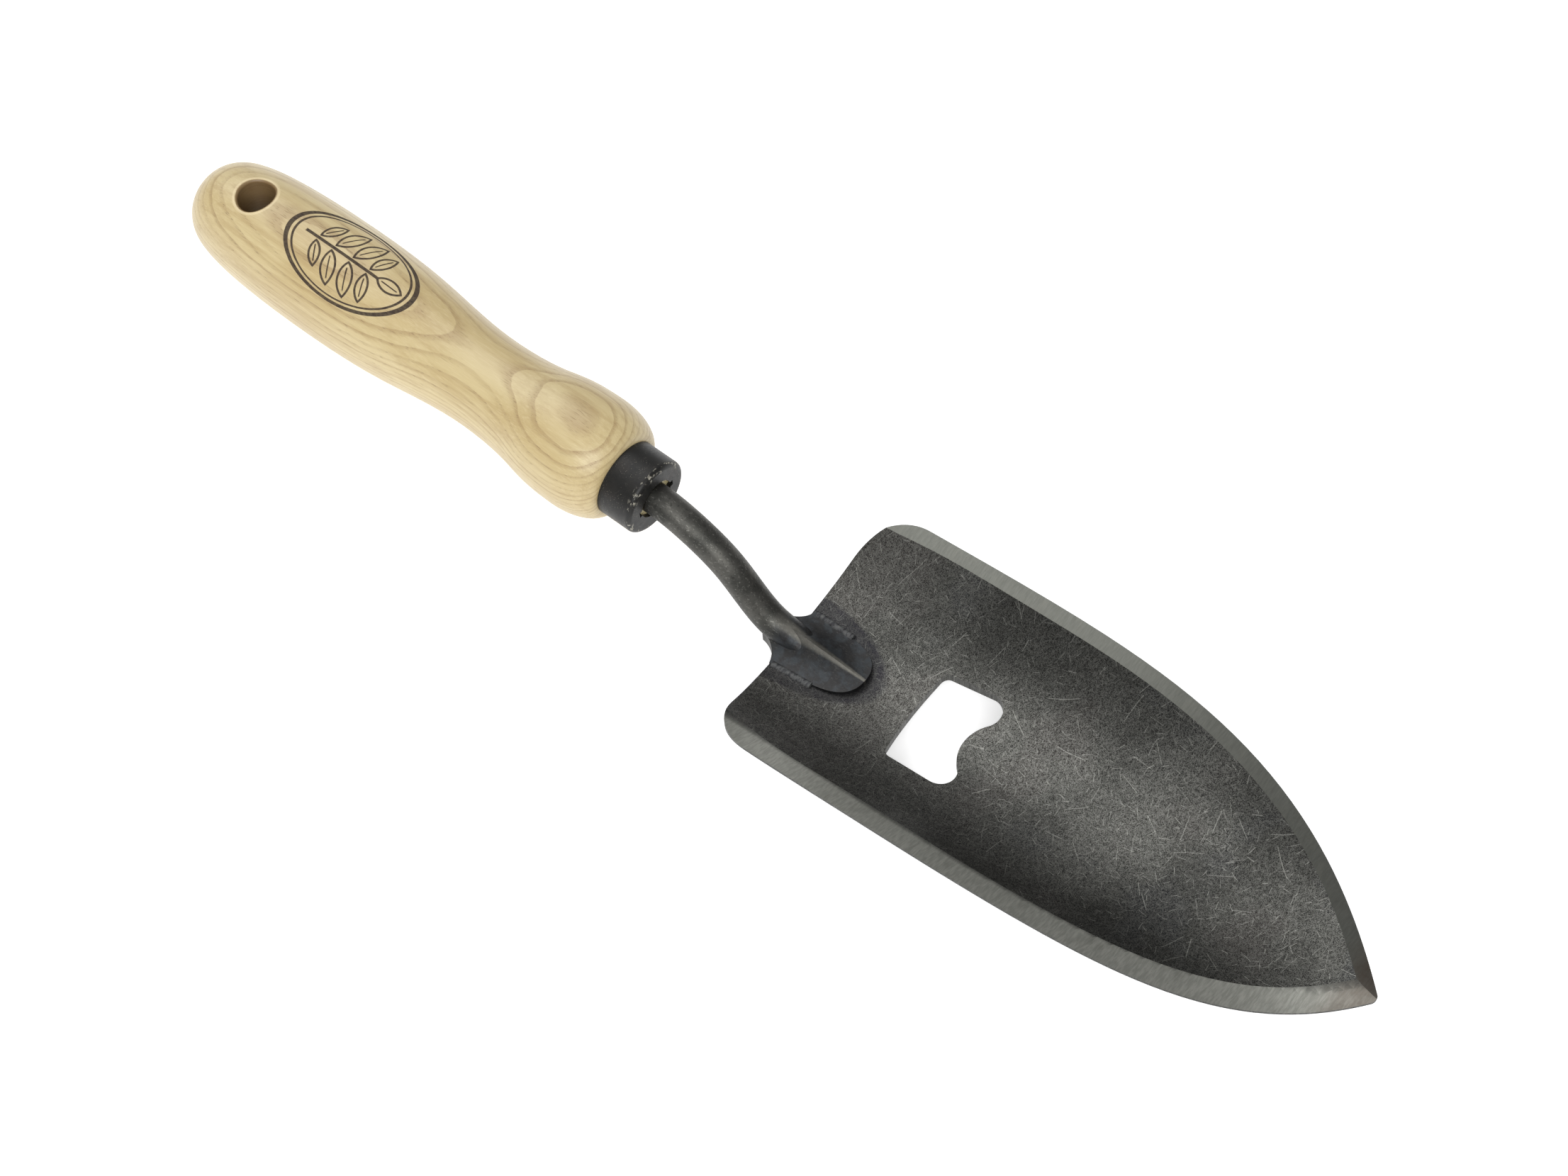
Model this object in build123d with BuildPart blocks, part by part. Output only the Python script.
"""Forged hand trowel: turned ash handle, steel ferrule, cranked forged shank, dished blade.

Millimetres, +Z up. The handle axis is parallel to X, the tip points to +X, and the blade
is hollow side up. The origin is the middle of the bounding box at its lowest level.
"""

import os
from math import asin, cos, sin, sqrt, tan, radians

from build123d import *

os.makedirs("parts", exist_ok=True)

# ---------------------------------------------------------------- driving dimensions
OVERALL = 341.3  # butt to blade tip
HANDLE_LEN = 135.7  # butt to shoulder
SWELL_R = 15.14  # rear swelling
BUTT_R = 12.5  # where the butt rounding ends
WAIST_R = 11.77
BULB_R = 14.74  # front bulb
SHOULDER_LIP = 0.3  # how far the wood's shoulder stands out past the ferrule
HANG_X = 20.0  # hang hole centre from the butt
HANG_R = 4.7
HANG_EASE = 0.7  # eased rim

FERRULE_LEN = 9.6
FERRULE_R = 9.63
FERRULE_WALL = 1.2
FERRULE_ROUND = 1.2
SHANK_R = 3.9  # neck radius
RING_GAP = 1.1  # open ring between neck and ferrule lip
NOTCH = 1.8  # width of the two lip notches
NOTCH_DEEP = 0.8
FERRULE_FIT = 0.04  # radial clearance, ferrule on tenon
TANG_FIT = 0.04  # radial clearance, tang in handle

TANG_LEN = 68.0  # from the ferrule face back into the handle
TANG_END_R = 2.6

NECK_LEN = 39.1  # ferrule face to the blade's rear edge, along the axis
BLADE_T = 2.5
DROP = 23.1  # handle axis to the blade floor at the rear edge
RISE = 23.5  # how much the floor climbs from rear edge to tip
TOE_SAG = 55.0  # keeps the floor low until the toe turns up
HALF_W = 34.75
DISH_RATIO = 1.209  # radius of the hollow, across, for each mm of half width
REAR_BOW = 3.4  # rear edge, centre behind the corners
REAR_SKEW = 1.5  # one rear corner is this much ahead, the other behind: cut by hand
CORNER_R = 13.0
SIDE_STRAIGHT = 23.8  # length of the straight part of each side
SIDE_PULL = 67.0  # handles of the side curve
TIP_PULL = 44.5
TIP_ANGLE = 47.5  # of each side against the axis, at the tip
TIP_R = 1.6
BEVEL_LEFT = 3.5  # ground bevels, in plan: the grinder took more off the right side
BEVEL_RIGHT = 5.8
EDGE_T = 0.8  # what the bevel leaves standing

OPEN_BACK = 35.3  # back edge of the opener cut-out, from the rear edge
OPEN_HALF = 12.5
OPEN_BOW = 1.2
OPEN_TURN = 3.2  # degrees, the punch stood a little askew
LOBE_FROM = 14.2  # lobe centres, from the cut-out's back edge
LOBE_Y = 9.1
LOBE_R = 3.95
LUG_FROM = 14.3  # tip of the lug, from the cut-out's back edge

LEAF_LEN = 21.8  # forged palm, from the rear edge forward
LEAF_HALF = 7.5
LEAF_REAR = 8.5  # half width where it meets the rear edge
RIDGE_END = 1.6  # ridge height left at the palm's end
LEAF_EDGE = 0.35  # palm thickness at its outline

BEAD_R = 0.9
BEAD_LEN = 11.0  # each weld bead

# ---------------------------------------------------------------- shared values
X0 = OVERALL / 2
Z0 = DROP + BLADE_T
SEAT_X = HANDLE_LEN + FERRULE_LEN  # front face of the ferrule
TENON_END = SEAT_X - FERRULE_WALL
SHOULDER_R = FERRULE_R + SHOULDER_LIP
TENON_R = FERRULE_R - FERRULE_WALL - FERRULE_FIT
LIP_R = SHANK_R + RING_GAP
BLADE_X = SEAT_X + NECK_LEN  # rear edge of the blade on the centre line
BLADE_LEN = OVERALL - BLADE_X
DISH_R = DISH_RATIO * HALF_W
OPEN_X = BLADE_X + OPEN_BACK
LOBE_X = OPEN_X + LOBE_FROM
LUG_TIP = OPEN_X + LUG_FROM
LEAF_X = BLADE_X + LEAF_LEN


def px(x):
    return x - X0


def pz(z):
    return z + Z0


def floor_z(x):
    t = (x - BLADE_X) / BLADE_LEN
    sag = TOE_SAG * t**6 * (1 - t)
    if t > 1:
        sag = -TOE_SAG * (t - 1)
    return RISE * t - sag - DROP


def top_z(x, y):
    return floor_z(x) + DISH_R - sqrt(DISH_R**2 - y**2)


def under_z(x, y):
    return floor_z(x) + DISH_R - sqrt((DISH_R + BLADE_T) ** 2 - y**2)


# side outline in plan: straight, then one cubic curve, then the tip round
TIP_A = radians(TIP_ANGLE)
SIDE_X = BLADE_X + SIDE_STRAIGHT
ENDX = OVERALL - TIP_R + TIP_R * sin(TIP_A)
ENDY = TIP_R * cos(TIP_A)
B0 = (SIDE_X, HALF_W)
B1 = (SIDE_X + SIDE_PULL, HALF_W)
B2 = (ENDX - TIP_PULL * cos(TIP_A), ENDY + TIP_PULL * sin(TIP_A))
B3 = (ENDX, ENDY)


def side_point(t):
    a, b, c, d = (1 - t) ** 3, 3 * (1 - t) ** 2 * t, 3 * (1 - t) * t * t, t**3
    return tuple(a * B0[i] + b * B1[i] + c * B2[i] + d * B3[i] for i in (0, 1))


def side_slope(t):
    a, b, c = (1 - t) ** 2, 2 * (1 - t) * t, t * t
    d = [a * (B1[i] - B0[i]) + b * (B2[i] - B1[i]) + c * (B3[i] - B2[i]) for i in (0, 1)]
    n = sqrt(d[0] ** 2 + d[1] ** 2)
    return d[0] / n, d[1] / n


def along(share):
    return px(share * HANDLE_LEN)


def across(x):
    return Plane(origin=(px(x), 0, Z0), x_dir=(0, 1, 0), z_dir=(1, 0, 0))


SPREAD = asin((HALF_W + 4.9) / DISH_R)
STEPS = (-0.065, 0.1, 0.26, 0.42, 0.58, 0.71, 0.815, 0.893, 0.958, 1.05)
FLOOR_STATIONS = [BLADE_X + k * BLADE_LEN for k in STEPS]
SEAT_DEEP = 24.0


def rim_corners(f, thick):
    """Inner and outer corner of a curved section whose middle is at height f."""
    q = DISH_R + thick
    yi, zi = DISH_R * sin(SPREAD), f + DISH_R - DISH_R * cos(SPREAD)
    yo, zo = q * sin(SPREAD), f + DISH_R - q * cos(SPREAD)
    return yi, zi, yo, zo



# ---------------------------------------------------------------- handle
with BuildPart() as handle:
    with BuildSketch(Plane.XY.offset(Z0)):
        with BuildLine():
            Bezier((px(0), 0), (px(0), 5.3), (px(2.5), 10.5), (px(9.7), BUTT_R))
            Spline(
                (px(9.7), BUTT_R),
                (along(0.1747), BUTT_R + 2.05),
                (along(0.3077), SWELL_R),
                (along(0.5063), (SWELL_R + WAIST_R) / 2 + 0.61),
                (along(0.6735), WAIST_R),
                (along(0.7951), (WAIST_R + BULB_R) / 2 - 0.45),
                (along(0.916), BULB_R),
                tangents=((1, 0.28), (1, 0)),
            )
            Bezier(
                (along(0.916), BULB_R),
                (along(0.967), BULB_R),
                (px(HANDLE_LEN), BULB_R - 2.6),
                (px(HANDLE_LEN), SHOULDER_R),
            )
            Polyline(
                (px(HANDLE_LEN), SHOULDER_R),
                (px(HANDLE_LEN), TENON_R),
                (px(TENON_END), TENON_R),
                (px(TENON_END), 0),
                (px(0), 0),
            )
        make_face()
    revolve(axis=Axis((0, 0, Z0), (1, 0, 0)))
    with BuildSketch(Plane.XY.offset(Z0)):
        with Locations((px(HANG_X), 0)):
            Circle(HANG_R)
    extrude(amount=30, both=True, mode=Mode.SUBTRACT)
    rim = [e for e in handle.edges(Select.LAST) if abs((e @ 0.3).Z - (e @ 0.6).Z) < 4]
    fillet(rim, HANG_EASE)
    # tang bore, tapered like the tang
    with BuildSketch(Plane.YZ.offset(px(TENON_END))):
        with Locations((0, Z0)):
            Circle(SHANK_R + TANG_FIT)
    with BuildSketch(Plane.YZ.offset(px(SEAT_X - TANG_LEN))):
        with Locations((0, Z0)):
            Circle(TANG_END_R + TANG_FIT)
    loft(mode=Mode.SUBTRACT)
handle.part.label = "handle"
export_step(handle.part, "parts/handle.step")

# ---------------------------------------------------------------- ferrule
with BuildPart() as ferrule:
    with BuildSketch(Plane.XZ):
        with BuildLine():
            Polyline(
                (px(HANDLE_LEN), Z0 + TENON_R + FERRULE_FIT),
                (px(HANDLE_LEN), Z0 + FERRULE_R),
                (px(SEAT_X - FERRULE_ROUND), Z0 + FERRULE_R),
            )
            RadiusArc(
                (px(SEAT_X - FERRULE_ROUND), Z0 + FERRULE_R),
                (px(SEAT_X), Z0 + FERRULE_R - FERRULE_ROUND),
                FERRULE_ROUND,
            )
            Polyline(
                (px(SEAT_X), Z0 + FERRULE_R - FERRULE_ROUND),
                (px(SEAT_X), Z0 + LIP_R),
                (px(TENON_END), Z0 + LIP_R),
                (px(TENON_END), Z0 + TENON_R + FERRULE_FIT),
                (px(HANDLE_LEN), Z0 + TENON_R + FERRULE_FIT),
            )
        make_face()
    revolve(axis=Axis((0, 0, Z0), (1, 0, 0)))
    with BuildSketch(Plane.YZ.offset(px(TENON_END))):
        with Locations((0, Z0)):
            Rectangle(2 * (LIP_R + NOTCH_DEEP), NOTCH)
    extrude(amount=FERRULE_WALL, mode=Mode.SUBTRACT)
ferrule.part.label = "ferrule"
export_step(ferrule.part, "parts/ferrule.step")

# ---------------------------------------------------------------- blade outline, used twice
with BuildSketch(Plane.XY) as outline:
    with BuildLine():
        ThreePointArc(
            (px(BLADE_X + REAR_BOW + REAR_SKEW), -HALF_W),
            (px(BLADE_X), 0),
            (px(BLADE_X + REAR_BOW - REAR_SKEW), HALF_W),
        )
        Line((px(BLADE_X + REAR_BOW - REAR_SKEW), HALF_W), (px(B0[0]), B0[1]))
        Bezier(*[(px(p[0]), p[1]) for p in (B0, B1, B2, B3)])
        ThreePointArc((px(B3[0]), B3[1]), (px(OVERALL), 0), (px(B3[0]), -B3[1]))
        Bezier(*[(px(p[0]), -p[1]) for p in (B3, B2, B1, B0)])
        Line((px(B0[0]), -B0[1]), (px(BLADE_X + REAR_BOW + REAR_SKEW), -HALF_W))
    make_face()
    fillet(outline.vertices().sort_by(Axis.X)[:2], CORNER_R)

# ---------------------------------------------------------------- ground bevel cutters
grinds = []
for hand, bevel in ((1, BEVEL_LEFT), (-1, BEVEL_RIGHT)):
    with BuildPart() as grind:
        for k in range(11):
            if k == 0:
                p, d = (BLADE_X - 5, HALF_W), (1.0, 0.0)
            elif k == 10:
                d = side_slope(1)
                p = (B3[0] + 7 * d[0], B3[1] + 7 * d[1])
            else:
                p, d = side_point((k - 1) / 8), side_slope((k - 1) / 8)
            n = (d[1], -d[0])
            q = (p[0] + bevel * n[0], p[1] + bevel * n[1])
            low = under_z(*p) + EDGE_T
            high = top_z(*q)
            rate = (high - low) / bevel
            plane = Plane(
                origin=(px(p[0]), hand * p[1], Z0),
                x_dir=(n[0], hand * n[1], 0),
                z_dir=(hand * n[1], -n[0], 0),
            )
            with BuildSketch(plane):
                with BuildLine():
                    Polyline(
                        (-3, low - 3 * rate),
                        (bevel + 4, high + 4 * rate),
                        (bevel + 4, high + 4 * rate + 12),
                        (-3, low - 3 * rate + 22),
                        (-3, low - 3 * rate),
                    )
                make_face()
        loft()
    grinds.append(grind.part)

# ---------------------------------------------------------------- blade
with BuildPart() as blade:
    for x in FLOOR_STATIONS:
        with BuildSketch(across(x)):
            with BuildLine():
                f = floor_z(x)
                yi, zi, yo, zo = rim_corners(f, BLADE_T)
                Line((yi, zi), (yo, zo))
                ThreePointArc((yo, zo), (0, f - BLADE_T), (-yo, zo))
                Line((-yo, zo), (-yi, zi))
                ThreePointArc((-yi, zi), (0, f), (yi, zi))
            make_face()
    loft()
    extrude(outline.sketch, amount=90, both=True, mode=Mode.INTERSECT)
    # cut-out with two lobes and a rounded lug between them
    turn = radians(OPEN_TURN)
    mid = OPEN_X + 8
    askew = Plane(origin=(px(mid), 0, 0), x_dir=(cos(turn), sin(turn), 0), z_dir=(0, 0, 1))
    with BuildSketch(askew) as opener:
        with BuildLine():
            reach = LUG_TIP - LOBE_X
            lug_r = (LOBE_Y**2 + reach**2 - LOBE_R**2) / (2 * (LOBE_R - reach))
            gap = sqrt((LUG_TIP + lug_r - LOBE_X) ** 2 + LOBE_Y**2)
            ux, uy = (LUG_TIP + lug_r - LOBE_X) / gap, -LOBE_Y / gap
            tx, ty = LOBE_X + LOBE_R * ux, LOBE_Y + LOBE_R * uy
            ThreePointArc(
                (OPEN_X + OPEN_BOW - mid, -OPEN_HALF),
                (OPEN_X - mid, 0),
                (OPEN_X + OPEN_BOW - mid, OPEN_HALF),
            )
            Line((OPEN_X + OPEN_BOW - mid, OPEN_HALF), (LOBE_X - mid, LOBE_Y + LOBE_R))
            ThreePointArc(
                (LOBE_X - mid, LOBE_Y + LOBE_R),
                (LOBE_X + LOBE_R * cos(radians(25)) - mid, LOBE_Y + LOBE_R * sin(radians(25))),
                (tx - mid, ty),
            )
            ThreePointArc((tx - mid, ty), (LUG_TIP - mid, 0), (tx - mid, -ty))
            ThreePointArc(
                (tx - mid, -ty),
                (LOBE_X + LOBE_R * cos(radians(25)) - mid, -LOBE_Y - LOBE_R * sin(radians(25))),
                (LOBE_X - mid, -LOBE_Y - LOBE_R),
            )
            Line((LOBE_X - mid, -LOBE_Y - LOBE_R), (OPEN_X + OPEN_BOW - mid, -OPEN_HALF))
        make_face()
        fillet(opener.vertices().sort_by(Axis.X)[:2], 2.0)
    extrude(amount=90, both=True, mode=Mode.SUBTRACT)
    for cutter in grinds:
        add(cutter, mode=Mode.SUBTRACT)
blade.part.label = "blade"
export_step(blade.part, "parts/blade.step")

# ---------------------------------------------------------------- what the blade takes from the shank
with BuildPart() as seat:
    for x in FLOOR_STATIONS:
        with BuildSketch(across(x)):
            with BuildLine():
                f = floor_z(x)
                yi, zi, yo, zo = rim_corners(f, SEAT_DEEP)
                Line((yi, zi), (yo, zo))
                ThreePointArc((yo, zo), (0, f - SEAT_DEEP), (-yo, zo))
                Line((-yo, zo), (-yi, zi))
                ThreePointArc((-yi, zi), (0, f), (yi, zi))
            make_face()
    loft()
    extrude(outline.sketch, amount=90, both=True, mode=Mode.INTERSECT)

# ---------------------------------------------------------------- shank: tang, neck and palm in one forging
# distance ahead of the rear edge, and ridge height over the blade's floor
RIDGE = {
    -8.0: 5.5,
    -3.5: 5.7,
    1.0: 5.5,
    6.0: 4.7,
    12.0: 3.6,
    17.0: 2.6,
    LEAF_LEN + 0.6: RIDGE_END,
}
with BuildPart() as shank:
    # palm: ridged sections standing in the blade's own thickness
    for ahead, lift in RIDGE.items():
        x = BLADE_X + ahead
        with BuildSketch(across(x)):
            f = floor_z(x)
            edge = top_z(x, LEAF_REAR + 1) + LEAF_EDGE
            with BuildLine():
                Polyline(
                    (-LEAF_REAR - 1, edge),
                    (-LEAF_REAR - 1, 0.3 - Z0),
                    (LEAF_REAR + 1, 0.3 - Z0),
                    (LEAF_REAR + 1, edge),
                )
                for side in (1, -1):
                    ThreePointArc(
                        (side * (LEAF_REAR + 1), edge),
                        (side * 0.4 * (LEAF_REAR + 1), edge + 0.24 * (f + lift - edge)),
                        (0, f + lift),
                    )
            make_face()
    loft()
    with BuildSketch(Plane.XY) as leaf:
        with BuildLine():
            for side in (1, -1):
                ThreePointArc(
                    (px(BLADE_X - 6.0), side * 3.3),
                    (px(BLADE_X - 1.6), side * 5.3),
                    (px(BLADE_X + 0.3), side * LEAF_REAR),
                )
                Bezier(
                    (px(BLADE_X + 0.3), side * LEAF_REAR),
                    (px(BLADE_X + 9), side * LEAF_HALF),
                    (px(LEAF_X), side * (LEAF_HALF + 1.6)),
                    (px(LEAF_X), 0),
                )
            Line((px(BLADE_X - 6.0), -3.3), (px(BLADE_X - 6.0), 3.3))
        make_face()
    extrude(amount=60, both=True, mode=Mode.INTERSECT)
    # neck
    with BuildLine() as crank:
        Spline(
            (px(SEAT_X - 1), 0, Z0),
            (px(SEAT_X + 0.302 * NECK_LEN), 0, Z0 - 0.1116 * DROP),
            (px(SEAT_X + 0.527 * NECK_LEN), 0, Z0 - 0.3206 * DROP),
            (px(SEAT_X + 0.715 * NECK_LEN), 0, Z0 - 0.6607 * DROP),
            (px(SEAT_X + 0.874 * NECK_LEN), 0, Z0 - 0.8745 * DROP),
            (px(BLADE_X + 0.4), 0, Z0 - DROP + 1.6),
            (px(BLADE_X + 7.2), 0, Z0 - DROP - 0.4),
            tangents=((1, 0, 0), (1, 0, -0.3)),
        )
    with BuildSketch(Plane.YZ.offset(px(SEAT_X - 1))):
        with Locations((0, Z0)):
            Circle(SHANK_R)
    sweep(path=crank.line)
    # tang
    with BuildSketch(Plane.YZ.offset(px(SEAT_X - 1))):
        with Locations((0, Z0)):
            Circle(SHANK_R)
    extrude(amount=-(SEAT_X - 1 - TENON_END))
    with BuildSketch(Plane.YZ.offset(px(TENON_END))):
        with Locations((0, Z0)):
            Circle(SHANK_R)
    with BuildSketch(Plane.YZ.offset(px(SEAT_X - TANG_LEN))):
        with Locations((0, Z0)):
            Circle(TANG_END_R)
    loft()
    add(seat.part, mode=Mode.SUBTRACT)
shank.part.label = "shank"
export_step(shank.part, "parts/shank.step")

# ---------------------------------------------------------------- weld beads along the palm's rear corners
def bead_line(side):
    pts = []
    for k in range(4):
        x = BLADE_X + 1.2 + BEAD_LEN * k / 3
        y = LEAF_REAR - 0.1 - 0.045 * (x - BLADE_X)
        pts.append((px(x), side * y, Z0 + top_z(x, y) + 0.15))
    return pts


with BuildPart() as weld_left:
    with BuildLine() as left_run:
        Spline(*bead_line(1))
    with BuildSketch(Plane(origin=left_run.line @ 0, z_dir=left_run.line % 0)):
        Circle(BEAD_R)
    sweep(path=left_run.line)
    add(seat.part, mode=Mode.SUBTRACT)
    add(shank.part, mode=Mode.SUBTRACT)
weld_left.part.label = "weld_left"
export_step(weld_left.part, "parts/weld_left.step")

with BuildPart() as weld_right:
    with BuildLine() as right_run:
        Spline(*bead_line(-1))
    with BuildSketch(Plane(origin=right_run.line @ 0, z_dir=right_run.line % 0)):
        Circle(BEAD_R)
    sweep(path=right_run.line)
    add(seat.part, mode=Mode.SUBTRACT)
    add(shank.part, mode=Mode.SUBTRACT)
weld_right.part.label = "weld_right"
export_step(weld_right.part, "parts/weld_right.step")
